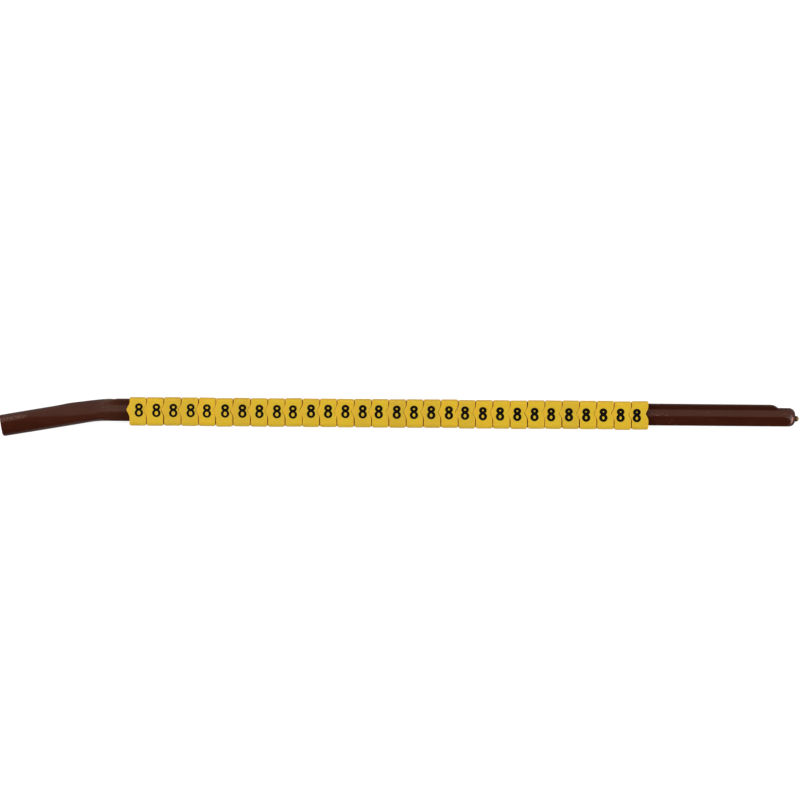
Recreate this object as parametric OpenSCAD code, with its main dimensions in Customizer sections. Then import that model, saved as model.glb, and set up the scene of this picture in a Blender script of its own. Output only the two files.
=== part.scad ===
// Applicator wand loaded with a row of clip-on cable markers.
// Lengths are in millimetres and angles in degrees. X runs along the rod towards its tip,
// Y points to the side of the rod that carries the rib, and Z points up, away from the
// surface that the flat backs of the markers lie on. The origin is under the middle.

/* [Marker row] */
// Number of markers on the wand
marker_count = 30; // [4:1:40]
// Distance from one marker to the next along the rod
marker_pitch = 4; // [3:0.1:6]
// Gap between the flat ends of neighbouring markers
marker_gap = 0.18; // [0.12:0.02:0.5]

/* [Marker] */
// Wall between the bore and the printed side
marker_wall = 0.74; // [0.5:0.02:1.4]
// Radius of the four long outer edges
marker_edge_r = 0.9; // [0.3:0.1:1.3]
// Radius of the two corners on the closed side, seen from the printed side
back_corner_r = 0.5; // [0.2:0.05:1]
// Radius of the two corners on the slit side, seen from the printed side
lip_corner_r = 0.25; // [0.2:0.05:1]
// Length of the point that stands out towards the handle
point_rise = 0.78; // [0.5:0.02:1.2]
// Height of the point at its root
point_height = 3; // [2:0.1:4]
// Distance of the point and its notch from the bore's axis, towards the slit
point_shift = 0.5; // [0:0.01:0.8]
// Distance of the bore's axis from the middle of the marker, away from the slit
bore_shift = 0.13; // [0:0.01:0.25]
// Clearance between a point and the notch that it nests in
nest_clearance = 0.05; // [0.02:0.01:0.12]
// Clearance between the bore and the corners of the rod
bore_clearance = 0.075; // [0.03:0.005:0.3]
// Clearance between each lip of the slit and the rib
slit_clearance = 0.1; // [0.04:0.01:0.3]
// Chamfer along the outer edge of each lip
lip_chamfer = 0.35; // [0.1:0.05:0.6]

/* [Rod] */
// Width of the hexagonal rod across its flats
rod_flats = 4.3; // [3.4:0.1:7]
// Height of the rib above the flat that carries it, next to the handle
rib_rise = 0.9; // [0.5:0.05:1.5]
// Fall of the rib's top from the handle to the tip
rib_fall = 0.17; // [0:0.01:0.3]
// Thickness of the rib
rib_thickness = 3.2; // [1.6:0.1:3.6]
// Chamfer along the top edges of the rib
rib_chamfer = 0.3; // [0.1:0.05:0.4]
// Length of ribbed rod past the last marker
bare_length = 30; // [10:0.1:60]
// Radius that rounds off the end of the rib
rib_end_r = 2.75; // [1.5:0.05:4]
// Length of plain rod past the rib
tongue_length = 4; // [3:0.1:10]
// Radius of the rounded tip
tip_r = 1.25; // [0.5:0.05:1.6]
// Slope of the cone that leads the rod's corners into the tip
tip_slope = 20; // [10:1:35]
// Length of the nib on the tip
nib_length = 0.9; // [0.4:0.05:2]
// Diameter of the nib at its root
nib_d = 1.3; // [0.6:0.05:1.6]
// Diameter of the nib at its shoulder
nib_shoulder_d = 1.1; // [0.5:0.05:1.5]
// Distance of the nib's shoulder from the tip
nib_shoulder = 0.5; // [0.2:0.05:0.7]
// Diameter of the nib at its point
nib_point_d = 0.2; // [0.1:0.05:0.5]
// Distance of the nib from the rod's axis, away from the rib
nib_drop = 0.33; // [0:0.01:0.6]

/* [Handle] */
// Length of ribbed rod before the first marker
lead_length = 2.8; // [1:0.1:4.8]
// Length over which the ribbed rod turns into the grip
change_length = 5.3; // [2:0.1:12]
// Distance from the first marker to the start of the bend
bend_start = 4.9; // [3:0.1:12]
// Angle of the bend, away from the rib
bend_angle = 10; // [2:0.5:30]
// Radius of the bend along the rod's axis
bend_r = 28; // [16:1:80]
// Length of the straight grip past the bend
grip_length = 20.2; // [12:0.1:40]
// Width of the grip, seen from the printed side
grip_width = 5.14; // [3.5:0.02:7]
// Thickness of the grip from ridge to ridge
grip_thickness = 4.2; // [3:0.1:6]
// Distance of the ridges from the middle of the grip's width, away from the rib
grip_ridge_shift = 0.77; // [0:0.01:1]
// Slope of the grip's facets on the side of the rib
grip_slope = 24; // [10:1:30]
// Slope of the grip's facets on the other side
grip_back_slope = 25; // [10:1:40]
// Sharpness of the grip's edges, where higher is sharper
grip_sharpness = 8; // [5:0.5:20]
// Swelling of the grip's outer edge past the bend
grip_swell = 0.15; // [0:0.01:0.4]
// Distance from the first marker to the middle of the swelling
swell_place = 13.2; // [8:0.1:20]
// Depth of the dip in the top edge where the rib starts
rib_dip = 0.1; // [0:0.01:0.3]
// Radius of the lower corner of the grip's end
grip_end_r = 0.7; // [0.2:0.1:1.5]

/* [Hidden] */
$fn = 64;
// Space that cutting shapes reach past what they cut
cut = 1;

// Rod: hexagon with two flats facing along Y and two corners facing along Z
rod_half = rod_flats / 2;
rod_corner_r = rod_half / cos(30);
rib_top = rod_half + rib_rise;
rib_half = rib_thickness / 2;

// Marker: the bore clears the rod's corners and the slit clears the rib
bore_d = 2 * (rod_corner_r + bore_clearance);
marker_size = bore_d + 2 * marker_wall;
marker_half = marker_size / 2;
back_side = bore_shift - marker_half;
slit_side = bore_shift + marker_half;
slit_half = rib_half + slit_clearance;
marker_length = marker_pitch - marker_gap;
notch_depth = point_rise - marker_gap + nest_clearance;

// Places along the rod, from the flat handle end of the first marker
row_end = (marker_count - 1) * marker_pitch + marker_length;
rib_end = row_end + bare_length;
tip_end = rib_end + tongue_length;
nib_end = tip_end + nib_length;
rib_end_top = rib_top - rib_fall;
rib_round_start = rib_end - sqrt(rib_end_r^2 - (rib_end_r - rib_end_top + rod_half)^2);

// Handle: a path that leaves the rod's axis, measured from the first marker
bend_length = bend_r * bend_angle * PI / 180;
bend_end = bend_start + bend_length;
grip_end = bend_end + grip_length;
grip_middle = (rib_top - rod_half) / 2;
dip_place = lead_length + 0.8;
dip_spread = 0.55;
swell_spread = 2.5;

function bend_turn(s) = bend_angle * min(max((s - bend_start) / bend_length, 0), 1);
function path_point(s) =
    let (straight = max(s - bend_end, 0), turn = bend_turn(s))
    [-min(s, bend_start) - bend_r * sin(turn) - straight * cos(turn),
     -bend_r * (1 - cos(turn)) - straight * sin(turn)];
function smooth(t) = let (k = min(max(t, 0), 1)) k * k * (3 - 2 * k);
function bump(distance, spread) = exp(-(distance / spread)^2);

// Overall box of the loaded wand, which places the origin
grip_end_point = path_point(grip_end);
grip_half = grip_width / 2;
x_low = grip_end_point[0] - (grip_middle + grip_half) * sin(bend_angle);
y_low = grip_end_point[1] + grip_end_r * sin(bend_angle)
    + (grip_middle - grip_half + grip_end_r) * cos(bend_angle) - grip_end_r;
x_middle = (x_low + nib_end) / 2;
y_middle = (y_low + slit_side) / 2;

function marker_name(i) = str("marker_", i < 10 ? "0" : "", i);

// Half of the ribbed rod's outline, from the rib's top round to the lower flat
rib_root = rib_half > rod_corner_r / 2
    ? [[(rod_corner_r - rib_half) / tan(30), rib_half]]
    : [[rod_half, rib_half], [rod_half, rod_corner_r / 2]];
outline_half = concat(
    [[rib_top, rib_half - rib_chamfer], [rib_top - rib_chamfer, rib_half]],
    rib_root,
    [[0, rod_corner_r], [-rod_half, rod_corner_r / 2]]);
function mirrored(points) = [for (i = [len(points) - 1:-1:0]) [points[i][0], -points[i][1]]];
rod_outline = concat(outline_half, mirrored(outline_half));

// The same outline with extra points along its sides, for the change into the grip
side_steps = 4;
ring_points = [for (i = [0:len(rod_outline) - 1]) for (k = [0:side_steps - 1])
    let (a = rod_outline[i], b = rod_outline[(i + 1) % len(rod_outline)])
    a + (b - a) * k / side_steps];
ring_count = len(ring_points);

// Distances along the path at which the handle's section is set out
change_steps = 14;
bend_steps = 12;
change_end = lead_length + change_length;
swell_end = swell_place + 2 * swell_spread;
stations = concat(
    [for (i = [0:change_steps - 1]) lead_length + change_length * i / change_steps],
    [for (i = [0:bend_steps - 1]) change_end + (swell_end - change_end) * i / bend_steps],
    [swell_end, grip_end]);

// Grip: a hexagon with round edges, whose facets have a direction and a distance from the middle
grip_ridge = [-grip_ridge_shift, grip_thickness / 2] * pow(2, 1 / grip_sharpness);
grip_facets = [for (angle = [90 - grip_slope, 90 + grip_back_slope]) for (side = [-1, 1])
    [side * angle, grip_ridge * [cos(angle), sin(angle)]]];
function grip_edges(s) =
    [[0, grip_half + grip_swell * bump(s - swell_place, swell_spread)], [180, grip_half]];
function sum(values) = values * [for (v = values) 1];

// Point of the grip's section in the direction of a point of the rod's outline
function grip_point(p, s) =
    let (angle = atan2(p[1], p[0] - grip_middle),
         nearness = [for (f = concat(grip_edges(s), grip_facets)) max(cos(angle - f[0]), 0) / f[1]],
         radius = pow(sum([for (n = nearness) pow(n, grip_sharpness)]), -1 / grip_sharpness))
    [grip_middle + radius * cos(angle), radius * sin(angle)];

// Section of the handle at a distance along its path, as points in space
function handle_ring(s) =
    let (at = path_point(s), turn = bend_turn(s), change = smooth((s - lead_length) / change_length))
    [for (p = ring_points)
        let (q = p + (grip_point(p, s) - p) * change,
             dip = p[0] > rib_top - rib_chamfer ? rib_dip * bump(s - dip_place, dip_spread) : 0,
             reach = q[0] - (s > lead_length ? dip : 0))
        [at[0] - reach * sin(turn), at[1] + reach * cos(turn), q[1]]];
function handle_middle(s) =
    let (at = path_point(s), turn = bend_turn(s))
    [at[0] - grip_middle * sin(turn), at[1] + grip_middle * cos(turn), 0];

// Handle from the end of the ribbed rod to the end of the grip, as one lofted skin
module handle_loft() {
    last = len(stations) - 1;
    start_middle = len(stations) * ring_count;
    points = concat(
        [for (s = stations) each handle_ring(s)],
        [handle_middle(stations[0]), handle_middle(stations[last])]);
    skin = [for (i = [0:last - 1]) for (j = [0:ring_count - 1])
        let (a = i * ring_count + j, b = i * ring_count + (j + 1) % ring_count)
        each [[a, b, b + ring_count], [a, b + ring_count, a + ring_count]]];
    start_cap = [for (j = [0:ring_count - 1]) [start_middle, (j + 1) % ring_count, j]];
    end_cap = [for (j = [0:ring_count - 1])
        [start_middle + 1, last * ring_count + j, last * ring_count + (j + 1) % ring_count]];
    polyhedron(points, concat(skin, start_cap, end_cap));
}

// What is taken off to round a corner at the origin whose sides run along +X and +Y
module round_corner(r) {
    difference() {
        translate([-cut, -cut]) square(r + cut);
        translate([r, r]) circle(r);
    }
}

// What is taken off to round the four corners of a marker's outline
module round_corners(left, right, low, high, low_r, high_r) {
    corners = [[left, low], [right, low], [right, high], [left, high]];
    for (i = [0:3])
        translate(corners[i]) rotate(90 * i) round_corner(i < 2 ? low_r : high_r);
}

// What is taken off to round the lower corner of the grip's end
module grip_end_corner() {
    translate(grip_end_point)
        rotate(bend_angle)
            translate([0, grip_middle - grip_half, -grip_thickness])
                linear_extrude(2 * grip_thickness) round_corner(grip_end_r);
}

// Lays a flat section, drawn in Y and Z, along the rod from one place to another
module along_rod(from, to) {
    translate([from, 0, 0])
        rotate([90, 0, 90])
            linear_extrude(to - from) children();
}

// Outline of the rib, seen from the printed side
module rib_plan() {
    intersection() {
        union() {
            polygon([[-lead_length, 0], [-lead_length, rib_top],
                     [rib_round_start, rib_end_top], [rib_round_start, 0]]);
            translate([rib_round_start, rib_end_top - rib_end_r]) circle(rib_end_r);
        }
        translate([-lead_length, 0]) square([rib_end + rib_end_r + lead_length, rib_top]);
    }
}

module rib() {
    intersection() {
        along_rod(-lead_length, rib_end + rib_end_r)
            polygon([[0, -rib_half], [rib_top - rib_chamfer, -rib_half], [rib_top, rib_chamfer - rib_half],
                     [rib_top, rib_half - rib_chamfer], [rib_top - rib_chamfer, rib_half], [0, rib_half]]);
        translate([0, 0, -rib_thickness]) linear_extrude(2 * rib_thickness) rib_plan();
    }
}

// Half profile of the rounded tip, drawn as radius and place along the rod
module tip_profile() {
    round_r = rod_half - tip_r;
    round_at = tip_end - tip_r;
    cone_r = round_r + tip_r * cos(tip_slope);
    cone_at = round_at + tip_r * sin(tip_slope);
    outer_r = rod_corner_r + cut;
    polygon([[0, -lead_length - cut], [outer_r, -lead_length - cut],
             [outer_r, cone_at - (outer_r - cone_r) / tan(tip_slope)],
             [cone_r, cone_at], [round_r, cone_at], [round_r, tip_end], [0, tip_end]]);
    intersection() {
        translate([round_r, round_at]) circle(tip_r);
        translate([0, round_at]) square([rod_half, tip_r]);
    }
}

module rod() {
    intersection() {
        along_rod(-lead_length, tip_end)
            rotate(30) circle(rod_corner_r, $fn = 6);
        rotate([90, 0, 90]) rotate_extrude() tip_profile();
    }
}

module nib() {
    sunk = nib_length / 4;
    translate([tip_end, -nib_drop, 0])
        rotate([90, 0, 90])
            rotate_extrude()
                polygon([[0, -sunk], [nib_d / 2, -sunk], [nib_d / 2, 0], [nib_shoulder_d / 2, nib_shoulder],
                         [nib_point_d / 2, nib_length], [0, nib_length]]);
}

module wand() {
    color([0.23, 0.11, 0.07])
        difference() {
            union() {
                rod();
                rib();
                nib();
                handle_loft();
            }
            grip_end_corner();
        }
}

// Section of a marker: a square with round edges, a round bore and a slit for the rib
module marker_section() {
    difference() {
        translate([back_side, -marker_half]) square(marker_size);
        round_corners(back_side, slit_side, -marker_half, marker_half, marker_edge_r, marker_edge_r);
        circle(d = bore_d);
        translate([0, -slit_half]) square([marker_size, 2 * slit_half]);
        polygon([[slit_side - lip_chamfer, -slit_half], [slit_side - lip_chamfer, slit_half],
                 [slit_side + cut, slit_half + lip_chamfer + cut],
                 [slit_side + cut, -slit_half - lip_chamfer - cut]]);
    }
}

// Outline of a marker seen from the printed side, with its point and its notch
module marker_plan() {
    point_half = point_height / 2;
    notch_half = notch_depth / point_rise * point_half;
    difference() {
        polygon([[0, back_side], [marker_length, back_side],
                 [marker_length, point_shift - notch_half],
                 [marker_length - notch_depth, point_shift],
                 [marker_length, point_shift + notch_half],
                 [marker_length, slit_side], [0, slit_side],
                 [0, point_shift + point_half], [-point_rise, point_shift], [0, point_shift - point_half]]);
        round_corners(0, marker_length, back_side, slit_side, back_corner_r, lip_corner_r);
    }
}

module marker(i) {
    color([0.85, 0.71, 0.20])
        translate([(i - 1) * marker_pitch, 0, 0])
            intersection() {
                along_rod(-point_rise - cut, marker_length + cut) marker_section();
                translate([0, 0, -marker_size]) linear_extrude(2 * marker_size) marker_plan();
            }
}

// Puts the underside of the markers at Z = 0 and the middle of the whole at the origin
module on_surface() {
    translate([-x_middle, -y_middle, marker_half]) children();
}

on_surface() wand();
for (i = [1:marker_count])
    on_surface() marker(i);
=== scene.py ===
# %% [markdown]
# # A wand of cable markers
# The object is a brown plastic rod with a bent grip, and a row of yellow clips pushed on to it.
# An electrician slides the clips off the rod on to a wire to number it. This notebook dresses the
# packed model: it follows the sizes and places of the solids and gives each piece its soft edges,
# its print and its finish. The first cell loads the solids as a fixed frame and keeps their box.

# %% Load the frame
import math
import random

import bmesh
import bpy
from mathutils import Matrix, Vector


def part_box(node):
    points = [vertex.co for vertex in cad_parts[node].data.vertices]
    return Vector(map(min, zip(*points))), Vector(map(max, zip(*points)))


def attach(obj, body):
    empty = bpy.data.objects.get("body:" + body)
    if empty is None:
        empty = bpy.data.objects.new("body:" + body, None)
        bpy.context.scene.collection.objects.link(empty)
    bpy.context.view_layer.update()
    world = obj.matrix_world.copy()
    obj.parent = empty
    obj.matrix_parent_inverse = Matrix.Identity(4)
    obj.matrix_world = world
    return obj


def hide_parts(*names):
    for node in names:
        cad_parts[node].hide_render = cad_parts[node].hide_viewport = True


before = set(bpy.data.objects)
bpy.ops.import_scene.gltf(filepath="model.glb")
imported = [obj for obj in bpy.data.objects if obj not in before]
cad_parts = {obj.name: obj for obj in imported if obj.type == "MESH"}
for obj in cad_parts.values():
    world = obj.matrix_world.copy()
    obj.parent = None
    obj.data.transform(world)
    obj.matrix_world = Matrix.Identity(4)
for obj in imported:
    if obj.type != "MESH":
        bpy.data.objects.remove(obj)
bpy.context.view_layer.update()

# %% [markdown]
# ## Sizes
# Blender works in metres, and an edge of a tenth of a millimetre is too small there for bevels and
# booleans to be exact. So each piece is modelled with one unit to the millimetre and scaled down when
# it is finished. What the solids can tell is read from them: the pitch and size of the markers, the
# axis of the rod and the end of the tip. The other sizes are named in the cells that use them.

# %% Measure the frame
MM = 0.001
POINT_RISE = 0.78
BORE_SHIFT = 0.13


def box_mm(node):
    """The two corners of a solid's box in millimetres."""
    low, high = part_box(node)
    return Vector(low) / MM, Vector(high) / MM


def marker_node(number):
    return f"marker_{number:02d}"


marker_count = sum(name.startswith("marker_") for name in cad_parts)
wand_high = box_mm("wand")[1]
first_low, first_high = box_mm(marker_node(1))
second_low = box_mm(marker_node(2))[0]
marker_pitch = second_low.x - first_low.x
marker_size = first_high.y - first_low.y
marker_half = marker_size / 2
marker_length = first_high.x - first_low.x - POINT_RISE
row_start = first_low.x + POINT_RISE
row_length = (marker_count - 1) * marker_pitch + marker_length
row_middle_y = (first_low.y + first_high.y) / 2
axis_y = row_middle_y - BORE_SHIFT
axis_z = (first_low.z + first_high.z) / 2
print("markers:", marker_count, "pitch:", round(marker_pitch, 3), "size:", round(marker_size, 3))

# %% [markdown]
# ## Camera
# The wand lies flat and the picture looks straight down on it. A long lens keeps both ends equally
# large. The wand sits a little below the middle of the picture and drops slightly to the right, so
# the camera stands above a point beside the rod and is rolled by half a degree.

# %% Set up the camera
PICTURE_WIDTH = 184.9
ROW_BELOW_MIDDLE = 3.12
MIDDLE_ALONG = 0.17
CAMERA_LENS = 800
CAMERA_SENSOR = 36
CLIP_RANGE = 100
CAMERA_ROLL = math.radians(0.48)

camera_height = PICTURE_WIDTH * MM * CAMERA_LENS / CAMERA_SENSOR
camera_data = bpy.data.cameras.new("camera")
camera_data.lens = CAMERA_LENS
camera_data.sensor_width = CAMERA_SENSOR
camera_data.clip_start = camera_height / CLIP_RANGE
camera_data.clip_end = camera_height * CLIP_RANGE
camera = bpy.data.objects.new("camera", camera_data)
looked_at = Vector((MIDDLE_ALONG, row_middle_y + ROW_BELOW_MIDDLE, axis_z)) * MM
camera.location = looked_at + Vector((0, 0, camera_height))
camera.rotation_euler = (0, 0, CAMERA_ROLL)
bpy.context.scene.collection.objects.link(camera)
bpy.context.scene.camera = camera
bpy.context.scene.view_settings.view_transform = "Standard"
print("camera height in m:", round(camera.location.z, 3))

# %% [markdown]
# ## Shader maths
# A finish mixes noise, masks and colours. Built node by node that is hard to read, so one small class
# wraps a socket and lets Python's own operators add the Math nodes, and a second one adds any
# other node from its type, its settings and its inputs. Sizes in a finish are millimetres too.

# %% Wrap a socket


class Value:
    """An output socket of a finish. Arithmetic on it adds Math nodes."""

    def __init__(self, finish, socket):
        self.finish = finish
        self.socket = socket

    def math(self, operation, *values):
        return self.finish.node("Math", {"operation": operation}, dict(enumerate(values)))

    def __add__(self, other):
        return self.math("ADD", self, other)

    def __sub__(self, other):
        return self.math("SUBTRACT", self, other)

    def __rsub__(self, other):
        return self.math("SUBTRACT", other, self)

    def __mul__(self, other):
        return self.math("MULTIPLY", self, other)

    def __abs__(self):
        return self.math("ABSOLUTE", self)

    def floor(self):
        return self.math("FLOOR", self)

    def fraction(self):
        return self.math("FRACT", self)

    __radd__ = __add__
    __rmul__ = __mul__


print("a value offers, beside arithmetic:", [name for name in vars(Value) if not name.startswith("__")])

# %% Build a finish


class Finish:
    """A material that is built from values."""

    def __init__(self, name):
        self.material = bpy.data.materials.new(name)
        self.material.use_nodes = True
        self.tree = self.material.node_tree
        self.tree.nodes.clear()
        self.surface = self.tree.nodes.new("ShaderNodeOutputMaterial").inputs["Surface"]

    def node(self, kind, settings=None, inputs=None, output=0):
        """Adds any node by its type, its settings and the values or links of its sockets."""
        made = self.tree.nodes.new("ShaderNode" + kind)
        for key, setting in (settings or {}).items():
            setattr(made, key, setting)
        for key, value in (inputs or {}).items():
            if isinstance(value, Value):
                self.tree.links.new(value.socket, made.inputs[key])
            else:
                made.inputs[key].default_value = value
        return Value(self, made.outputs[output])

    def split(self, vector):
        """The x, y and z of a vector."""
        parts = self.node("SeparateXYZ", inputs={0: vector}).socket.node.outputs
        return [Value(self, part) for part in parts]

    def position(self):
        """The place on the piece in millimetres."""
        return [axis * (1 / MM) for axis in self.split(self.node("TexCoord", output="Object"))]

    def noise(self, size, detail, stretch=(1, 1, 1)):
        """Cloudy noise from 0 to 1 in patches of about that size, which a stretch makes longer."""
        scale = [1 / (size * MM * longer) for longer in stretch]
        place = self.node("TexCoord", output="Object")
        place = self.node("Mapping", inputs={"Vector": place, "Scale": scale})
        return self.node("TexNoise", inputs={"Vector": place, "Scale": 1.0, "Detail": detail})

    def ramp(self, value, low, high):
        """A smooth step from 0, where the value is low, to 1, where it is high."""
        span = {"Value": value, "From Min": low, "From Max": high}
        return self.node("MapRange", {"interpolation_type": "SMOOTHSTEP"}, span)

    def zone(self, value, start, full, fading, end):
        """1 where the value lies between full and fading, and 0 before start and after end."""
        return self.ramp(value, start, full) * self.ramp(value, end, fading)

    def spots(self, size, detail, stretch, edge):
        """Noise that is cut to separate spots, with their edge between two levels."""
        return self.ramp(self.noise(size, detail, stretch), *edge)

    def mix(self, factor, first, second):
        """The colour between two colours."""
        return self.node("Mix", {"data_type": "RGBA"}, {0: factor, 6: first, 7: second}, output=2)

    def bump(self, height, depth):
        """Relief of that depth in millimetres."""
        return self.node("Bump", inputs={"Height": height, "Strength": 1.0, "Distance": depth * MM})

    def show(self, shader):
        """Puts a shader on the material's surface."""
        self.tree.links.new(shader.socket, self.surface)
        return self.material


print("a finish offers:", [name for name in vars(Finish) if not name.startswith("__")])

# %% Read a colour


def colour(red, green, blue):
    """A colour by its levels on screen, from 0 to 255, as the linear colour that shaders use."""
    levels = [level / 255 for level in (red, green, blue)]
    return [v / 12.92 if v <= 0.04045 else ((v + 0.055) / 1.055) ** 2.4 for v in levels] + [1.0]


print("mid grey on screen is", round(colour(128, 128, 128)[0], 3), "in a shader")

# %% [markdown]
# ## Floor
# The wand is shown on plain white. Lamps that make a floor white would bleach the wand, so the floor
# is a mid grey that takes the shadow, and it glows only for rays that look at it. Light Path tells
# those rays from the ones that carry light. A strip along the wand doesn't glow in reflections, so that
# the glossy rod stays deep brown. Under the row the floor has no glow and is painted amber: painted
# shade, tinted like the light that gets there through the yellow clips.

# %% Lay the floor
FLOOR_SIZE = 6.0
FLOOR_GREY = 0.5
FLOOR_GLOW = 0.76
SHADE_EDGE = (0.1, 0.45)
SHADE_ENDS = (0.18, 0.54)
SHADE_AMBER = colour(150, 104, 26)
DULL_STRIP = (30.0, 45.0)


def deselect_all():
    bpy.ops.object.select_all(action="DESELECT")


deselect_all()
bpy.ops.mesh.primitive_plane_add(size=FLOOR_SIZE)
floor = bpy.context.object
floor.name = "floor"

floor_finish = Finish("white_floor")
rays = floor_finish.node("LightPath").socket.node.outputs
ray_names = ("Is Camera Ray", "Is Glossy Ray", "Is Transmission Ray")
seen_camera, seen_glossy, seen_through = [Value(floor_finish, rays[name]) for name in ray_names]
x, y = floor_finish.position()[:2]
beside_row = abs(y - row_middle_y)
from_row_centre = abs(x - (row_start + row_length / 2))
shade_sides = [marker_half - inset for inset in SHADE_EDGE]
shade_ends = [row_length / 2 - inset for inset in SHADE_ENDS]
under_row = floor_finish.ramp(beside_row, *shade_sides) * floor_finish.ramp(from_row_centre, *shade_ends)
seen_glossy = seen_glossy * floor_finish.ramp(beside_row, *DULL_STRIP)
glow = (seen_camera + seen_glossy + seen_through) * (1 - under_row) * FLOOR_GLOW
pale = (FLOOR_GREY, FLOOR_GREY, FLOOR_GREY, 1)
# painted shade: the floor under the row is coloured amber and dark
floor_colour = floor_finish.mix(under_row, pale, SHADE_AMBER)
matte = floor_finish.node("BsdfDiffuse", inputs={"Color": floor_colour})
white = floor_finish.node("Emission", inputs={"Strength": glow})
floor_shader = floor_finish.node("AddShader", inputs={0: matte, 1: white})
floor.data.materials.append(floor_finish.show(floor_shader))
print("floor side in m:", FLOOR_SIZE)

# %% [markdown]
# ## Light
# Two soft lamps stand in line with the wand, one at each end, as on a copying stand. The long facets of
# the rod can't mirror lamps that stand there, so they stay deep brown, and the gaps between the markers
# stay dark. The lamp at the tip stands lower and brightens what faces it. A broad weak panel on the
# side of the rib is slightly warm and gives the one facet that faces it a soft sheen.

# %% Hang the lamps
LAMP_DISTANCE = 0.8
LAMP_SIDES = (0.8, 0.35)
GRIP_LAMP_ELEVATION = math.radians(45)
GRIP_LAMP_POWER = 4.4
TIP_LAMP_ELEVATION = math.radians(31)
TIP_LAMP_POWER = 5.2
TIP_LAMP_TURN = math.radians(-8)
TIP_LAMP_SIDE = (math.cos(TIP_LAMP_TURN), math.sin(TIP_LAMP_TURN), 0)
PANEL_DISTANCE = 0.9
PANEL_ELEVATION = math.radians(30)
PANEL_SIDES = (3.0, 1.2)
PANEL_POWER = 9.8
PANEL_TINT = (1.0, 0.92, 0.82)
SURROUND_LEVEL = 0.06


def add_lamp(name, towards, elevation, distance, sides, power, tint=(1, 1, 1)):
    """A soft lamp that looks at the wand, on the side that a level direction gives."""
    direction = Vector(towards) * math.cos(elevation) + Vector((0, 0, math.sin(elevation)))
    lamp_data = bpy.data.lights.new(name, "AREA")
    lamp_data.shape = "RECTANGLE"
    lamp_data.size, lamp_data.size_y = sides
    lamp_data.energy = power
    lamp_data.color = tint
    lamp = bpy.data.objects.new(name, lamp_data)
    lamp.location = direction * distance
    lamp.rotation_euler = direction.to_track_quat("Z", "Y").to_euler()
    bpy.context.scene.collection.objects.link(lamp)


add_lamp("lamp_at_grip", (-1, 0, 0), GRIP_LAMP_ELEVATION, LAMP_DISTANCE, LAMP_SIDES, GRIP_LAMP_POWER)
add_lamp("lamp_at_tip", TIP_LAMP_SIDE, TIP_LAMP_ELEVATION, LAMP_DISTANCE, LAMP_SIDES, TIP_LAMP_POWER)
add_lamp(
    "panel_at_rib", (0, 1, 0), PANEL_ELEVATION, PANEL_DISTANCE, PANEL_SIDES, PANEL_POWER, PANEL_TINT)
surround = bpy.data.worlds.new("surround")
surround.use_nodes = True
background = surround.node_tree.nodes["Background"]
background.inputs["Color"].default_value = (1, 1, 1, 1)
background.inputs["Strength"].default_value = SURROUND_LEVEL
bpy.context.scene.world = surround

# %% [markdown]
# ## The outline of the rod
# The wand is one moulding. Its rod is a hexagon that stands on a corner, with a rib along one side,
# and towards the grip that section melts into a bar with round edges. A loft suits this best: one
# closed outline with a fixed number of points, repeated at many places along the wand and changed a
# little each time. Here half of the outline is set out by its corners, from the top of the rib to
# the flat on the other side, with a small round at each corner, and the other half mirrors it.

# %% Set out the outline
ROD_HALF = 2.15
RIB_RISE = 0.9
RIB_HALF = 1.6
RIB_CHAMFER = 0.3
CORNER_ROUND = 0.17
CORNER_STEPS = 4
SIDE_STEPS = 4
ROUNDS_PER_SIDE = 2.2
LEAST_RIB = 0.02
rod_corner = ROD_HALF / math.cos(math.radians(30))
rib_top = ROD_HALF + RIB_RISE
rib_root = (rod_corner - RIB_HALF) * math.sqrt(3)


def outline_corners(top):
    """Half of the outline, as reach towards the rib and height, with the rib's top at that reach."""
    chamfer = min(RIB_CHAMFER, (top - rib_root) / 2)
    crest = max(top, ROD_HALF)
    shoulder = max(rod_corner - top / math.sqrt(3), rod_corner / 2)
    return [(crest, 0), (crest, rod_corner / 2), (top, (shoulder + RIB_HALF - chamfer) / 2),
            (top, RIB_HALF - chamfer), (top - chamfer, RIB_HALF), (rib_root, RIB_HALF),
            (0, rod_corner), (-ROD_HALF, rod_corner / 2), (-ROD_HALF, 0)]


def rounded(corners):
    """Points from the first corner to the last, with a round at each corner between them."""
    corners = [Vector(corner) for corner in corners]
    points = [corners[0]]
    for before, corner, after in zip(corners, corners[1:], corners[2:]):
        shorter_side = min((before - corner).length, (after - corner).length)
        cut = min(CORNER_ROUND, shorter_side / ROUNDS_PER_SIDE)
        start = corner + (before - corner).normalized() * cut
        end = corner + (after - corner).normalized() * cut
        points += [points[-1].lerp(start, k / SIDE_STEPS) for k in range(1, SIDE_STEPS)]
        for k in range(CORNER_STEPS):
            t = k / (CORNER_STEPS - 1)
            points.append(start.lerp(corner, t).lerp(corner.lerp(end, t), t))
    return points + [points[-1].lerp(corners[-1], k / SIDE_STEPS) for k in range(1, SIDE_STEPS + 1)]


def outline(top=rib_top):
    """The whole outline, with the rib's top at that reach."""
    half = rounded(outline_corners(max(top, rib_root + LEAST_RIB)))
    return half + [Vector((p.x, -p.y)) for p in reversed(half[1:-1])]


print("points in the outline:", len(outline()))

# %% [markdown]
# ## Along the wand
# From the first marker the wand runs straight towards the grip, bends away from the rib and runs
# straight again, while its outline turns into a flat hexagon with round edges, whose ridge runs
# slantwise over the grip. Towards the tip the top of the rib falls slightly and is rounded off. A
# plain tongue follows, then a cone and a round, and on the end stands the small nib where the plastic
# was fed into the mould. Each stretch has a function that gives the outline at a place, counted in
# millimetres from the first marker.

# %% Lay the path of the grip
LEAD_LENGTH = 2.8
CHANGE_LENGTH = 5.3
BEND_START = 4.9
BEND_ANGLE = math.radians(10)
BEND_RADIUS = 28.0
GRIP_LENGTH = 20.2
change_end = LEAD_LENGTH + CHANGE_LENGTH
bend_end = BEND_START + BEND_RADIUS * BEND_ANGLE
grip_end = bend_end + GRIP_LENGTH


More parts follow.
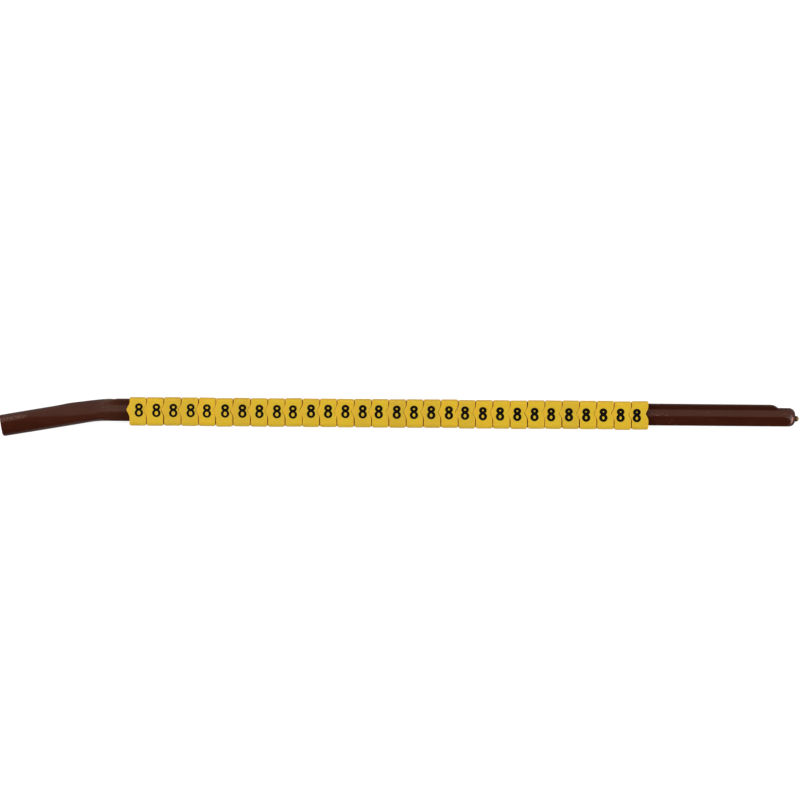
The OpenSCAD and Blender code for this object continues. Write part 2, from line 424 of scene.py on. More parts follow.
def share(value, start, end):
    """How far a value has come from start to end, from 0 to 1."""
    return min(max((value - start) / (end - start), 0), 1)


def between(span, t):
    """The number that lies a share t of the way over a span."""
    return span[0] + (span[1] - span[0]) * t


def on_rod(along, reach, height):
    """A point by its place along the rod, its reach towards the rib and its height, from the axis."""
    return Vector((row_start + along, axis_y + reach, axis_z + height))


def path_at(s):
    """Turn of the bent axis, and its place along and beside the rod, at a distance towards the grip."""
    turn = BEND_ANGLE * share(s, BEND_START, bend_end)
    straight = max(s - bend_end, 0)
    along = -min(s, BEND_START) - BEND_RADIUS * math.sin(turn) - straight * math.cos(turn)
    aside = -BEND_RADIUS * (1 - math.cos(turn)) - straight * math.sin(turn)
    return turn, along, aside


print("distance from the first marker to the end of the grip:", round(grip_end, 2))

# %% Draw the section of the grip
GRIP_HALF_WIDTH = 2.57
GRIP_HALF_THICKNESS = 2.1
RIDGE_SHIFTS = (1.45, -0.6)
RIDGE_PLACES = (9.0, 26.0)
GRIP_SLOPE = math.radians(24)
GRIP_BACK_SLOPE = math.radians(25)
GRIP_SHARPNESS = 4.5
SWELL = 0.15
SWELL_PLACE = 13.2
SWELL_SPREAD = 2.5
grip_middle = (rib_top - ROD_HALF) / 2


def hump(distance, spread):
    return math.exp(-(distance / spread) ** 2)


def heading(angle):
    return Vector((math.cos(angle), math.sin(angle)))


def grip_facets(s):
    """The directions of the grip's six facets and their distances from its middle."""
    swell = SWELL * hump(s - SWELL_PLACE, SWELL_SPREAD)
    facets = [(0, GRIP_HALF_WIDTH + swell), (math.pi, GRIP_HALF_WIDTH)]
    shift = between(RIDGE_SHIFTS, share(s, *RIDGE_PLACES))
    ridge = Vector((-shift, GRIP_HALF_THICKNESS)) * 2 ** (1 / GRIP_SHARPNESS)
    for angle in (math.pi / 2 - GRIP_SLOPE, math.pi / 2 + GRIP_BACK_SLOPE):
        distance = ridge.dot(heading(angle))
        facets += [(angle, distance), (-angle, distance)]
    return facets


def grip_point(p, facets):
    """The point of the grip's section in the direction of a point of the outline."""
    angle = math.atan2(p.y, p.x - grip_middle)
    nearness = [max(math.cos(angle - facet), 0) / distance for facet, distance in facets]
    radius = sum(n ** GRIP_SHARPNESS for n in nearness) ** (-1 / GRIP_SHARPNESS)
    return Vector((grip_middle, 0)) + heading(angle) * radius


print("facets of the grip:", len(grip_facets(grip_end)))

# %% Turn the outline into the grip
GRIP_END_ROUND = 0.7
GRIP_RIM_ROUND = 0.14
DIP = 0.1
DIP_PLACE = 3.6
DIP_SPREAD = 0.55


def smooth(t):
    return t * t * (3 - 2 * t)


def round_off(to_end, radius):
    """How far a rounded edge has drawn back at a distance from the end."""
    over = max(radius - to_end, 0)
    return radius - math.sqrt(max(radius ** 2 - over ** 2, 0))


def grip_ring(s):
    """The outline at a distance towards the grip."""
    turn, along, aside = path_at(s)
    change = smooth(share(s, LEAD_LENGTH, change_end))
    lower_share = 1 - round_off(grip_end - s, GRIP_END_ROUND) / GRIP_HALF_WIDTH
    rim = round_off(grip_end - s, GRIP_RIM_ROUND)
    middle = Vector((grip_middle, 0))
    facets = grip_facets(s)
    points = []
    for p in outline():
        q = p.lerp(grip_point(p, facets), change) - middle
        if p.x > rib_top - RIB_CHAMFER:
            q.x -= DIP * hump(s - DIP_PLACE, DIP_SPREAD)
        if q.x < 0:
            q.x *= lower_share
        q = middle + q - q.normalized() * rim
        points.append(on_rod(along - q.x * math.sin(turn), aside + q.x * math.cos(turn), q.y))
    return points


end_ring = grip_ring(grip_end)
print("height of the grip's end:", round(max(p.z for p in end_ring) - min(p.z for p in end_ring), 2))

# %% Shape the rod and the tip
BARE_LENGTH = 30.0
RIB_FALL = 0.17
RIB_END_ROUND = 2.75
TIP_ROUND = 1.5
TIP_SLOPE = math.radians(20)
NIB_LENGTH = 0.9
NIB_DROP = 0.33
NIB_SHAPE = ((0, 0.64), (0.05, 0.68), (0.3, 0.65), (0.5, 0.58), (0.62, 0.43), (0.72, 0.26), (0.8, 0.14))
rib_end = row_length + BARE_LENGTH
tip_end = wand_high.x - row_start - NIB_LENGTH
tip_flat = ROD_HALF - TIP_ROUND
rib_end_top = rib_top - RIB_FALL


def rib_round_length(reach):
    """Length of the arc on the rib's end, from its start until it has fallen to a reach."""
    return math.sqrt(RIB_END_ROUND ** 2 - (RIB_END_ROUND - rib_end_top + reach) ** 2)


rib_round_start = rib_end - rib_round_length(ROD_HALF)
rib_gone = rib_round_start + rib_round_length(rib_root)


def rib_top_at(x):
    """How far the top of the rib reaches at a place along the rod."""
    if x < rib_round_start:
        return rib_top - RIB_FALL * (x + LEAD_LENGTH) / (rib_round_start + LEAD_LENGTH)
    return rib_end_top - round_off(rib_round_start + RIB_END_ROUND - x, RIB_END_ROUND)


def tip_radius(x):
    """Largest radius near the tip: a cone and then a round."""
    round_at = tip_end - TIP_ROUND
    cone_at = round_at + TIP_ROUND * math.sin(TIP_SLOPE)
    if x < cone_at:
        return tip_flat + TIP_ROUND * math.cos(TIP_SLOPE) + (cone_at - x) * math.tan(TIP_SLOPE)
    return tip_flat + math.sqrt(max(TIP_ROUND ** 2 - (x - round_at) ** 2, 0))


def rod_ring(x, largest, drop=0):
    """The outline at a place along the rod, kept within a radius and moved away from the rib."""
    points = [p * min(1, largest / p.length) for p in outline(rib_top_at(x))]
    return [on_rod(x, p.x - drop, p.y) for p in points]


print("rib ends at", round(rib_end, 2), "and the tip at", round(tip_end, 2))

# %% [markdown]
# ## Lofting the wand
# By hand this is a filled circle whose face is extruded again and again, with each new ring pushed
# into shape. The script does the same: it extrudes the face, finds beside each new point the one that
# it came from, and moves it to its place in the next outline. Places lie close together where the
# shape changes fast: at the end of the grip, through the bend, at the end of the rib and on the tip.

# %% Choose the places
TIP_START = 2.4
RIM_STEPS = 4
TIP_STEPS = 10
QUARTER_TURN = math.radians(90)


def spaced(start, end, count):
    """Places from start to just short of end."""
    return [start + (end - start) * k / count for k in range(count)]


rim_turns = spaced(0, QUARTER_TURN, RIM_STEPS)
swell_start = SWELL_PLACE + 2 * SWELL_SPREAD
grip_places = (
    [grip_end - GRIP_RIM_ROUND * (1 - math.cos(turn)) for turn in rim_turns]
    + spaced(grip_end - GRIP_RIM_ROUND, grip_end - GRIP_END_ROUND, count=8)
    + spaced(grip_end - GRIP_END_ROUND, swell_start, count=14)
    + spaced(swell_start, LEAD_LENGTH, count=60))
tip_turns = spaced(0, QUARTER_TURN, TIP_STEPS)
last_stretch = TIP_ROUND / 2
rod_places = (
    spaced(-LEAD_LENGTH, rib_round_start, count=40)
    + spaced(rib_round_start, rib_gone, count=16)
    + spaced(rib_gone, tip_end - TIP_START, count=3)
    + spaced(tip_end - TIP_START, tip_end - last_stretch, count=14)
    + [tip_end - last_stretch * (1 - math.sin(turn)) for turn in tip_turns])
print("places towards the grip:", len(grip_places), "and towards the tip:", len(rod_places))

# %% Loft the wand
SHARP_WAND = math.radians(26)


def came_from(v):
    """The point that a freshly extruded point was pulled from."""
    neighbours = [edge.other_vert(v) for edge in v.link_edges]
    return next(other for other in neighbours if not other.select)


def loft(name, rings):
    """A closed piece through rings of points."""
    deselect_all()
    bpy.ops.mesh.primitive_circle_add(vertices=len(rings[0]), fill_type="NGON")
    piece = bpy.context.object
    piece.name = name
    bpy.ops.object.mode_set(mode="EDIT")
    mesh = bmesh.from_edit_mesh(piece.data)
    rank = {v: k for k, v in enumerate(mesh.verts)}
    for v, k in rank.items():
        v.co = rings[0][k]
    for ring in rings[1:]:
        bpy.ops.mesh.extrude_region_move()
        mesh = bmesh.from_edit_mesh(piece.data)
        fresh = [v for v in mesh.verts if v.select]
        rank = {v: rank[came_from(v)] for v in fresh}
        for v, k in rank.items():
            v.co = ring[k]
    bpy.ops.mesh.select_all(action="SELECT")
    bpy.ops.mesh.normals_make_consistent(inside=False)
    bpy.ops.object.mode_set(mode="OBJECT")
    return piece


def to_metres(piece, sharp_angle):
    """Scales a finished piece down from millimetres and smooths its shading."""
    deselect_all()
    piece.select_set(True)
    bpy.context.view_layer.objects.active = piece
    piece.data.transform(Matrix.Scale(MM, 4))
    bpy.ops.object.shade_smooth_by_angle(angle=sharp_angle)


wand_rings = [grip_ring(s) for s in grip_places]
wand_rings += [rod_ring(x, tip_radius(x)) for x in rod_places]
wand_rings += [rod_ring(tip_end, tip_flat)]
wand_rings += [rod_ring(tip_end + x, radius, NIB_DROP) for x, radius in NIB_SHAPE]
wand_rings += [rod_ring(tip_end + NIB_LENGTH, NIB_SHAPE[-1][1] / 2, NIB_DROP)]
wand = loft("wand_moulding", wand_rings)
to_metres(wand, SHARP_WAND)
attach(wand, "root")
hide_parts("wand")
print("wand:", len(wand_rings), "outlines,", len(wand.data.polygons), "faces")

# %% [markdown]
# ## Brown plastic
# The wand is glossy plastic, moulded in a deep red brown. The tone isn't quite even: there are faint
# streaks and clouds along the rod. The rib's face is painted a shade darker, as painted shade that the
# lamps alone don't give it. A painted image would need the wand unwrapped. Here noise that is stretched
# along the rod gives the streaks, and the place on the piece, in millimetres, tells where the painted
# shade on the rib goes.

# %% Mix the brown
DEEP_BROWN = colour(51, 18, 8)
STREAK_BROWN = colour(67, 28, 14)
CLOUD_BROWN = colour(76, 33, 18)
CLOUD_LEVELS = (0.4, 0.8)
CLOUD_SHARE = 0.25
RIB_SHADE_BROWN = colour(38, 13, 5)
RIB_SHADE_EDGE = 0.1
RIB_SHADE_FADE = (1.0, -1.0)
RIB_SHADE_SHARE = 0.5

wand_finish = Finish("brown_plastic")
x, y, z = wand_finish.position()
reach = y - axis_y
height = z - axis_z
from_row = row_start - x
streaks = wand_finish.noise(size=0.5, detail=3.0, stretch=(16, 1, 1))
grain = wand_finish.noise(size=0.12, detail=2.0)
clouds = wand_finish.noise(size=2.5, detail=2.0, stretch=(2, 1, 1))
brown = wand_finish.mix(streaks, DEEP_BROWN, STREAK_BROWN)
brown = wand_finish.mix(wand_finish.ramp(clouds, *CLOUD_LEVELS) * CLOUD_SHARE, brown, CLOUD_BROWN)
# painted shade: the rib's face is darkened, fading out towards the row
rib_painted_shade = wand_finish.ramp(reach, rib_root - RIB_SHADE_EDGE, rib_root + RIB_SHADE_EDGE)
rib_painted_shade = rib_painted_shade * wand_finish.ramp(from_row, *RIB_SHADE_FADE)
brown = wand_finish.mix(rib_painted_shade * RIB_SHADE_SHARE, brown, RIB_SHADE_BROWN)
print("nodes in the plain brown:", len(wand_finish.tree.nodes))

# %% [markdown]
# ## Wear and a painted glint on the brown
# Moulding and use left marks. The grip is scuffed along one edge near its end. Where the ribbed rod
# turns into the grip there are paler flow marks and a slight haze. Pale scratches lie beside the rod's
# ridge, just past the row and again near the tip. The shoulder of the tip carries a painted highlight, a
# pale crescent where a lamp would glint. Each mark is a zone, made of ramps along and across the wand,
# and in most of them fine noise breaks the zone up into spots, so that it has no drawn edge.

# %% Wear the grip
SCUFF_TONE = colour(122, 94, 80)
SCUFF_LENGTH = (9.0, 7.0)
SCUFF_ACROSS = (1.0, 1.5, 2.0, 2.4)
SCUFF_HEIGHT = (0.2, 1.0)
RAGGED_LENGTH = 4.0
RAGGED_HEIGHT = 0.8
SCUFF_VEIL = 0.1
SCUFF_SHARE = 0.5
FLOW_TONE = colour(98, 70, 54)
FLOW_ALONG = (1.5, 3.5, 8.0, 12.0)
FLOW_ACROSS = (-0.6, 0.4)
FLOW_SHARE = 0.25
HAZE_ALONG = (-0.5, 1.0, 5.0, 9.0)
HAZE_SHARE = 0.1

turn, end_along, end_aside = path_at(grip_end)
end_point = on_rod(end_along, end_aside, 0)
from_end = (x - end_point.x) * math.cos(turn) + (y - end_point.y) * math.sin(turn)
grip_reach = (y - end_point.y) * math.cos(turn) - (x - end_point.x) * math.sin(turn)
scuff_zone = wand_finish.ramp(from_end + streaks * RAGGED_LENGTH, *SCUFF_LENGTH)
scuff_zone = scuff_zone * wand_finish.zone(grip_reach, *SCUFF_ACROSS)
scuff_zone = scuff_zone * wand_finish.ramp(height + clouds * RAGGED_HEIGHT, *SCUFF_HEIGHT)
scuffs = scuff_zone * wand_finish.spots(size=0.2, detail=1.0, stretch=(1.3, 1, 1), edge=(0.5, 0.62))
brown = wand_finish.mix(scuff_zone * SCUFF_VEIL + scuffs * SCUFF_SHARE, brown, SCUFF_TONE)

flow_zone = wand_finish.zone(from_row, *FLOW_ALONG) * wand_finish.ramp(reach, *FLOW_ACROSS)
flow_spots = wand_finish.spots(size=0.4, detail=3.0, stretch=(6, 1, 1), edge=(0.56, 0.72))
flow = flow_zone * flow_spots * FLOW_SHARE
haze = wand_finish.zone(from_row, *HAZE_ALONG) * HAZE_SHARE
brown = wand_finish.mix(flow + haze, brown, FLOW_TONE)
print("nodes with the worn grip:", len(wand_finish.tree.nodes))

# %% Scratch the rod and paint a glint on the tip
SCRATCH_TONE = colour(140, 112, 98)
SCRATCH_ACROSS = (-0.15, 0.0, 0.8, 1.1)
SCRATCH_PAST_ROW = (0.2, 0.8, 4.2, 5.0)
SCRATCH_TO_TIP = (0.8, 1.2, 2.6, 3.2)
SCRATCH_SHARE = 0.4
GLINT_TONE = colour(196, 142, 126)
GLINT_ACROSS = (-1.5, -1.2, -0.1, 0.15)
GLINT_HEIGHT = (0.0, 0.5)
GLINT_EDGE = (0.26, 0.06)
GLINT_SHARE = 0.7
CRESCENT_BACK = 0.6
CRESCENT_CURVE = 0.22

past_row = x - (row_start + row_length)
to_tip = row_start + tip_end - x
scratched = wand_finish.zone(past_row, *SCRATCH_PAST_ROW) + wand_finish.zone(to_tip, *SCRATCH_TO_TIP)
scratched = scratched * wand_finish.zone(reach, *SCRATCH_ACROSS)
scratch_spots = wand_finish.spots(size=0.22, detail=2.0, stretch=(4, 1, 1), edge=(0.56, 0.7))
scratches = scratched * scratch_spots * SCRATCH_SHARE
brown = wand_finish.mix(scratches, brown, SCRATCH_TONE)

# painted highlight: a pale crescent on the tip's shoulder stands in for a lamp's glint
from_crescent = abs(to_tip - (reach * reach * CRESCENT_CURVE + CRESCENT_BACK))
painted_glint = wand_finish.ramp(from_crescent, *GLINT_EDGE) * wand_finish.zone(reach, *GLINT_ACROSS)
painted_glint = painted_glint * wand_finish.ramp(height, *GLINT_HEIGHT)
brown = wand_finish.mix(painted_glint * GLINT_SHARE, brown, GLINT_TONE)
print("nodes with the worn rod:", len(wand_finish.tree.nodes))

# %% [markdown]
# ## Nib and gloss
# The nib is thin and lets light through, so it glows amber, with a dark rim. A see-through material
# would be much for a millimetre of plastic, so that amber glow is painted light, placed by position.
# Then the wand's one shader is put together: worn spots are a little rougher, and a shallow bump breaks
# up the gloss.

# %% Finish the wand
NIB_RIM = colour(44, 34, 9)
NIB_GLOW_AMBER = colour(142, 112, 38)
NIB_START = (0.0, -0.3)
NIB_CORE_ALONG = (-0.1, -0.45)
NIB_CORE_ACROSS = (0.4, 0.05)
WAND_RELIEF = 0.012

# painted light: the amber core stands for light that comes through the nib
nib_painted_glow = wand_finish.ramp(abs(reach + NIB_DROP), *NIB_CORE_ACROSS)
nib_painted_glow = nib_painted_glow * wand_finish.ramp(to_tip, *NIB_CORE_ALONG)
brown = wand_finish.mix(wand_finish.ramp(to_tip, *NIB_START), brown, NIB_RIM)
brown = wand_finish.mix(nib_painted_glow, brown, NIB_GLOW_AMBER)

wear = scuffs * 0.2 + scratches * 0.15 + flow * 0.2
relief = streaks * 0.5 + grain * 0.35 + scuffs * 0.6 + scratches * 0.8
wand_shader = wand_finish.node("BsdfPrincipled", inputs={
    "Base Color": brown,
    "Roughness": 0.2 + clouds * 0.12 + wear,
    "Specular IOR Level": 0.27,
    "Normal": wand_finish.bump(relief, WAND_RELIEF),
})
wand.data.materials.append(wand_finish.show(wand_shader))
print("nodes in the brown plastic:", len(wand_finish.tree.nodes))

# %% [markdown]
# ## The body of a marker
# A marker is a clip with a flat printed face, a round bore for the wire and a slit down one side. Seen
# from the printed side it has a blunt point at one end and a notch at the other, so that neighbours
# nest. Both outlines are simple when they are drawn flat, so the body is where two prisms
# overlap: the section pulled along the rod and the plan pulled up through it. More booleans bore the
# hole, open the slit and flare its mouth, and a bevel breaks the edges as a moulded clip has them.

# %% Draw and pull the section
ROUND_STEPS = 8
SAME_SPOT = 0.0001
SPARE = 1.0
MARKER_EDGE_ROUND = 0.9
back_side = BORE_SHIFT - marker_half
slit_side = BORE_SHIFT + marker_half


def flat_face(name, corners, rounds):
    """A flat face with these corners, some rounded by the radius given, all selected in edit mode."""
    deselect_all()
    bpy.ops.mesh.primitive_circle_add(vertices=len(corners), fill_type="NGON")
    piece = bpy.context.object
    piece.name = name
    bpy.ops.object.mode_set(mode="EDIT")
    bpy.ops.mesh.select_mode(type="VERT")
    mesh = bmesh.from_edit_mesh(piece.data)
    for k, v in enumerate(mesh.verts):
        v.co = corners[k]
    for radius, chosen in rounds.items():
        bpy.ops.mesh.select_all(action="DESELECT")
        mesh = bmesh.from_edit_mesh(piece.data)
        spots = [Vector(corners[k]) for k in chosen]
        for v in mesh.verts:
            v.select = any((v.co - spot).length < SAME_SPOT for spot in spots)
        mesh.select_flush_mode()
        bmesh.update_edit_mesh(piece.data)
        bpy.ops.mesh.bevel(offset=radius, segments=ROUND_STEPS, affect="VERTICES")
    bpy.ops.mesh.select_all(action="SELECT")
    return piece


def pull(direction):
    """Extrudes the selected face and leaves edit mode with its faces turned outwards."""
    bpy.ops.mesh.extrude_region_move(TRANSFORM_OT_translate={"value": direction})
    bpy.ops.mesh.select_all(action="SELECT")
    bpy.ops.mesh.normals_make_consistent(inside=False)
    bpy.ops.object.mode_set(mode="OBJECT")


section_start = -POINT_RISE - SPARE
section_corners = [
    (section_start, back_side, -marker_half), (section_start, slit_side, -marker_half),
    (section_start, slit_side, marker_half), (section_start, back_side, marker_half)]
section = flat_face("marker_section", section_corners, {MARKER_EDGE_ROUND: range(4)})
pull((marker_length + SPARE - section_start, 0, 0))
print("faces of the section's prism:", len(section.data.polygons))

# %% Draw and pull the plan
BACK_CORNER_ROUND = 0.45
LIP_CORNER_ROUND = 0.3
FLANK_ROUND = 0.4
POINT_ROUND = 0.2
POINT_HALF = 1.5
POINT_SHIFT = 0.5
NOTCH_DEPTH = 0.65

notch_half = POINT_HALF * NOTCH_DEPTH / POINT_RISE
plan_outline = [
    (0, back_side), (marker_length, back_side), (marker_length, POINT_SHIFT - notch_half),
    (marker_length - NOTCH_DEPTH, POINT_SHIFT), (marker_length, POINT_SHIFT + notch_half),
    (marker_length, slit_side), (0, slit_side), (0, POINT_SHIFT + POINT_HALF),
    (-POINT_RISE, POINT_SHIFT), (0, POINT_SHIFT - POINT_HALF)]
plan_corners = [(x, y, -marker_half - SPARE) for x, y in plan_outline]
plan_rounds = {
    BACK_CORNER_ROUND: (0, 1), LIP_CORNER_ROUND: (5, 6), FLANK_ROUND: (2, 4, 7, 9), POINT_ROUND: (3, 8)}
plan = flat_face("marker_plan", plan_corners, plan_rounds)
pull((0, 0, marker_size + 2 * SPARE))
print("faces of the plan's prism:", len(plan.data.polygons))

# %% Cut the body
BORE_GAP = 0.075
SLIT_GAP = 0.1
LIP_CHAMFER = 0.35
BORE_STEPS = 72
EDGE_BREAK = 0.11
EDGE_STEPS = 3
BROKEN_ANGLE = math.radians(24)
bore_half = rod_corner + BORE_GAP
slit_half = RIB_HALF + SLIT_GAP
cut_length = 2 * (marker_length + SPARE)


def apply_modifier(piece, kind, settings):
    """Adds a modifier with its settings and applies it."""
    deselect_all()
    piece.select_set(True)
    bpy.context.view_layer.objects.active = piece
    modifier = piece.modifiers.new(kind.lower(), kind)
    for key, setting in settings.items():
        setattr(modifier, key, setting)
    bpy.ops.object.modifier_apply(modifier=modifier.name)


def combine(piece, tool, operation):
    """Cuts, joins or overlaps a piece with a tool, and takes the tool away."""
    apply_modifier(piece, "BOOLEAN", {"operation": operation, "solver": "EXACT", "object": tool})
    bpy.data.objects.remove(tool)


def cutting_bar(side, reach, turn):
    """A square bar along the rod, centred at a reach towards the slit."""
    deselect_all()
    middle = (marker_length / 2, reach, 0)
    bpy.ops.mesh.primitive_cube_add(size=1, location=middle, rotation=(turn, 0, 0))
    bar = bpy.context.object
    bar.scale = (cut_length, side, side)
    bpy.ops.object.transform_apply(location=True, rotation=True, scale=True)
    return bar


body = section
body.name = "marker_body"
combine(body, plan, "INTERSECT")
deselect_all()
bpy.ops.mesh.primitive_cylinder_add(
    vertices=BORE_STEPS, radius=bore_half, depth=cut_length,
    location=(marker_length / 2, 0, 0), rotation=(0, QUARTER_TURN, 0))
combine(body, bpy.context.object, "DIFFERENCE")
combine(body, cutting_bar(2 * slit_half, slit_side + SPARE - slit_half, 0), "DIFFERENCE")
flare = slit_half + LIP_CHAMFER + SPARE
combine(body, cutting_bar(flare * math.sqrt(2), slit_side + SPARE, QUARTER_TURN / 2), "DIFFERENCE")
apply_modifier(body, "BEVEL", {
    "width": EDGE_BREAK,
    "segments": EDGE_STEPS,
    "limit_method": "ANGLE",
    "angle_limit": BROKEN_ANGLE,
    "use_clamp_overlap": False,
})
print("marker faces:", len(body.data.polygons))

# %% [markdown]
# ## The row of markers
# The body is modelled once and copied along the rod, each copy with its own mesh. Clips that are
# pushed on by hand don't line up perfectly, so each copy is turned and moved by a hair. The numbers
# come from a seeded generator, so the row is the same every time.

# %% Copy the row
ROW_SEED = 7
YAW_SPREAD = math.radians(0.35)
SHIFT_SPREAD = 0.045
ALONG_SPREAD = SHIFT_SPREAD / 4
SHARP_MARKER = math.radians(40)

row_random = random.Random(ROW_SEED)
middle = Vector((marker_length / 2, 0, 0))
markers = []
for number in range(1, marker_count + 1):
    copy = bpy.data.objects.new(f"clip_{number:02d}", body.data.copy())
    bpy.context.scene.collection.objects.link(copy)
    yaw = Matrix.Rotation(row_random.gauss(0, YAW_SPREAD), 4, "Z")
    nudge = Vector((row_random.gauss(0, ALONG_SPREAD), row_random.gauss(0, SHIFT_SPREAD), 0))
    spot = on_rod((number - 1) * marker_pitch, 0, 0) + middle + nudge
    copy.data.transform(Matrix.Translation(spot) @ yaw @ Matrix.Translation(-middle))
    to_metres(copy, SHARP_MARKER)
    apply_modifier(copy, "WEIGHTED_NORMAL", {"keep_sharp": True})
    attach(copy, "root")
    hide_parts(marker_node(number))
    markers.append(copy)
bpy.data.objects.remove(body)
print("markers placed:", len(markers))

# %% [markdown]
# ## Yellow plastic
# The clips are soft satin plastic in a warm yellow. No two have quite the same tone, as if they came from
# several batches, and the tone drifts a little over each clip. The plastic lets some light through, and
# part of that is painted: the faces at the ends of a clip are painted amber and the yellow beside the
# seams is painted warmer, for light that comes through the plastic. Painted shade makes the slit's side
# a shade darker, and painted light makes the closed side lighter. One material serves the whole row.
# White noise on a clip's number in the row, worked out from its place, gives each its own tone.

# %% Tint each clip
WARM_YELLOW = colour(220, 175, 38)
LEMON_YELLOW = colour(212, 190, 40)
DULL_YELLOW = colour(200, 156, 48)
DULL_SHARE = 0.5
SEAM_GLOW_YELLOW = colour(226, 168, 44)
SEAM_NEARNESS = (0.3, 0.46)
SEAM_GLOW_SHARE = 0.3
CLIP_MIDDLE = 0.48

marker_finish = Finish("yellow_plastic")
x, y = marker_finish.position()[:2]
row_number = ((x - (row_start - POINT_RISE / 2)) * (1 / marker_pitch)).floor()
batch = marker_finish.node("TexWhiteNoise", {"noise_dimensions": "1D"}, {"W": row_number})
clouds = marker_finish.noise(size=1.6, detail=3.0)
yellow = marker_finish.mix(batch * 0.4 + clouds * 0.6, WARM_YELLOW, LEMON_YELLOW)
yellow = marker_finish.mix(batch * batch * DULL_SHARE, yellow, DULL_YELLOW)
# painted light: the yellow beside the seams is warmer, for light that comes through the plastic there
off_middle = abs(((x - row_start) * (1 / marker_pitch)).fraction() - CLIP_MIDDLE)
seam_painted_glow = marker_finish.ramp(off_middle, *SEAM_NEARNESS)
yellow = marker_finish.mix(seam_painted_glow * SEAM_GLOW_SHARE, yellow, SEAM_GLOW_YELLOW)
print("nodes in the tint:", len(marker_finish.tree.nodes))

# %% Finish the markers
LIP_SHADE_YELLOW = colour(196, 154, 36)
LIP_SHADE_SHARE = 0.6
BACK_LIGHT_YELLOW = colour(240, 200, 60)
BACK_LIGHT_SHARE = 0.8
PAINTED_SIDE_BAND = 0.7
END_GLOW_AMBER = colour(206, 142, 24)
END_FACING = (0.6, 0.98)
END_GLOW_SHARE = 0.8
SCATTER_DEPTH = 0.5
MARKER_RELIEF = 0.006

# painted shade on the slit's side and painted light on the closed side, by position across the row
from_middle = y - row_middle_y
lip_painted_shade = marker_finish.ramp(from_middle, marker_half - PAINTED_SIDE_BAND, marker_half)
back_painted_light = marker_finish.ramp(from_middle, PAINTED_SIDE_BAND - marker_half, -marker_half)
yellow = marker_finish.mix(lip_painted_shade * LIP_SHADE_SHARE, yellow, LIP_SHADE_YELLOW)
yellow = marker_finish.mix(back_painted_light * BACK_LIGHT_SHARE, yellow, BACK_LIGHT_YELLOW)
# painted light: faces that look along the rod, the clip's ends, are painted amber for light through the
# thin plastic
facing_x = abs(marker_finish.split(marker_finish.node("NewGeometry", output="Normal"))[0])
end_painted_glow = marker_finish.ramp(facing_x, *END_FACING)
yellow = marker_finish.mix(end_painted_glow * END_GLOW_SHARE, yellow, END_GLOW_AMBER)
grain = marker_finish.noise(size=0.09, detail=2.0)
marker_material = marker_finish.show(marker_finish.node("BsdfPrincipled", inputs={
    "Base Color": yellow,
    "Roughness": 0.42 + clouds * 0.16,
    "Specular IOR Level": 0.3,
    "Subsurface Weight": 0.35,
    "Subsurface Radius": (1.0, 0.7, 0.15),
    "Subsurface Scale": SCATTER_DEPTH * MM,
    "Normal": marker_finish.bump(grain + clouds * 2, MARKER_RELIEF),
}))
for marker in markers:
    marker.data.materials.append(marker_material)
print("nodes in the yellow plastic:", len(marker_finish.tree.nodes))

# %% [markdown]
# ## The printed figure
# Each clip carries one black figure, an eight. An eight is two rings that share their waist, so it is
# modelled as two oval discs that are joined, with two smaller ovals cut out. The print is a thin
# film that stands just proud of the plastic. A ring is given by the height of its middle, its half
# width, its half height and the share of the stroke that its top and foot have. Along the row the
# strokes get heavier and the figures wander on their clips. The row looks made up of three strips,
# printed at slightly different heights, and every fifth figure sits a little to one side, as when a
# stamp prints five at a time.

# %% Draw the eight
FIGURE_STEPS = 40
FILM_SUNK = 0.01
FILM_PROUD = 0.018
UPPER_RING = (0.745, 0.89, 0.80, 0.95)
LOWER_RING = (-0.645, 0.97, 0.93, 0.82)
STROKE_RANGE = (0.55, 0.71)


def oval(ring, inset, extra):
    """An oval disc in the plane of the print, drawn in by an inset and thicker by an extra."""
    middle, half_width, half_height, upright_share = ring
    deselect_all()
    depth = FILM_SUNK + FILM_PROUD + 2 * extra
    height = (FILM_PROUD - FILM_SUNK) / 2
    bpy.ops.mesh.primitive_cylinder_add(
        vertices=FIGURE_STEPS, radius=1, depth=depth, location=(0, middle, height))
    disc = bpy.context.object
    disc.scale = (half_width - inset, half_height - inset * upright_share, 1)
    bpy.ops.object.transform_apply(location=True, rotation=True, scale=True)
    return disc


def figure_eight(stroke):
    """Two rings that share their waist, with strokes of that width."""
    figure = oval(UPPER_RING, 0, 0)
    combine(figure, oval(LOWER_RING, 0, 0), "UNION")
    combine(figure, oval(UPPER_RING, stroke, 1), "DIFFERENCE")
    combine(figure, oval(LOWER_RING, stroke, 1), "DIFFERENCE")
    return figure


print("points round a ring:", FIGURE_STEPS, "stroke from and to:", STROKE_RANGE)

# %% Print the row
PRINT_SEED = 11
DRIFT_ALONG = (0.29, -0.56)
DRIFT_UP = (0.36, 0.06)
STRIP_LIFTS = (-0.06, 0.11, -0.04)
STAMP_COUNT = 5
STAMP_STEP = -0.18
PRINT_SPREAD = 0.03

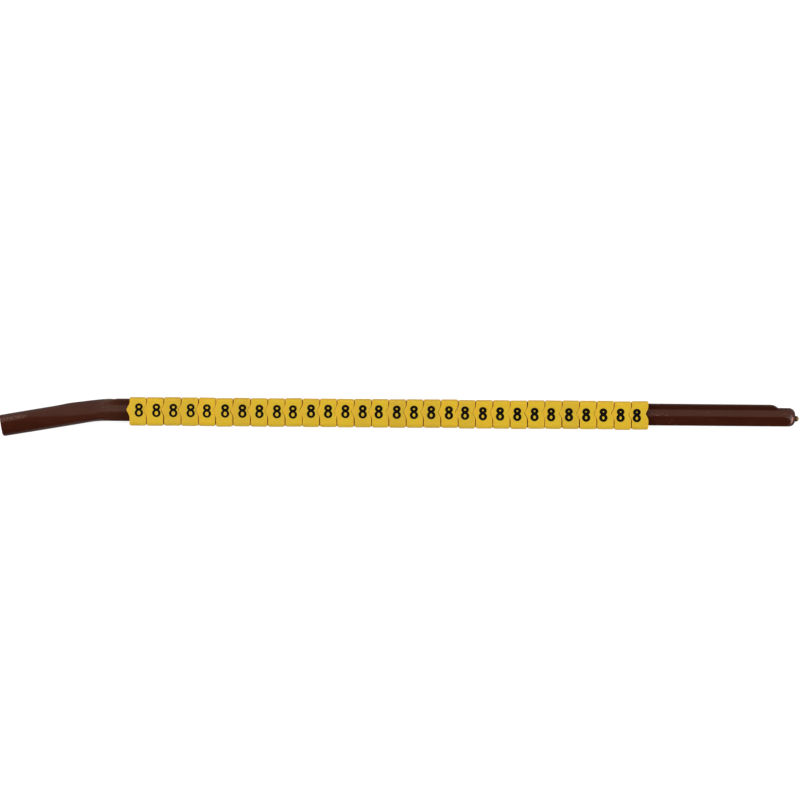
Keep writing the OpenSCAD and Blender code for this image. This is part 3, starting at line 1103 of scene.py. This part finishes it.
print_random = random.Random(PRINT_SEED)
figures = []
for number in range(1, marker_count + 1):
    t = (number - 1) / (marker_count - 1)
    if number % STAMP_COUNT == 1:
        stamp = figure_eight(between(STROKE_RANGE, t))
    aside = STAMP_STEP * (number % STAMP_COUNT == 0)
    along = between(DRIFT_ALONG, t) + aside + print_random.gauss(0, PRINT_SPREAD)
    lift = STRIP_LIFTS[(number - 1) * len(STRIP_LIFTS) // marker_count]
    up = between(DRIFT_UP, t) + lift + print_random.gauss(0, PRINT_SPREAD)
    figure = bpy.data.objects.new(f"figure_{number:02d}", stamp.data.copy())
    bpy.context.scene.collection.objects.link(figure)
    clip_middle = (number - 1) * marker_pitch + marker_length / 2
    spot = on_rod(clip_middle + along, BORE_SHIFT + up, marker_half)
    figure.data.transform(Matrix.Translation(spot))
    to_metres(figure, SHARP_MARKER)
    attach(figure, "root")
    figures.append(figure)
    if number % STAMP_COUNT == 0 or number == marker_count:
        bpy.data.objects.remove(stamp)
print("figures printed:", len(figures), "faces in one:", len(figures[0].data.polygons))

# %% [markdown]
# ## Ink
# The ink is a near black with a warm cast, duller than the plastic, and slightly uneven because the
# stamp didn't press everywhere alike.

# %% Finish the print
INK_BLACK = colour(5, 4, 4)
INK_THIN = colour(17, 12, 9)
PRESSURE_LEVELS = (0.35, 0.75)
INK_RELIEF = 0.004

ink_finish = Finish("black_ink")
pressure = ink_finish.noise(size=0.5, detail=3.0)
grain = ink_finish.noise(size=0.06, detail=2.0)
ink = ink_finish.mix(ink_finish.ramp(pressure, *PRESSURE_LEVELS), INK_BLACK, INK_THIN)
ink_material = ink_finish.show(ink_finish.node("BsdfPrincipled", inputs={
    "Base Color": ink,
    "Roughness": 0.5 + pressure * 0.2,
    "Specular IOR Level": 0.06,
    "Normal": ink_finish.bump(grain, INK_RELIEF),
}))
for figure in figures:
    figure.data.materials.append(ink_material)
print("nodes in the ink:", len(ink_finish.tree.nodes))

# %% [markdown]
# ## End
# The scene is complete: the dressed pieces with their finishes, the floor, the lamps and the camera.
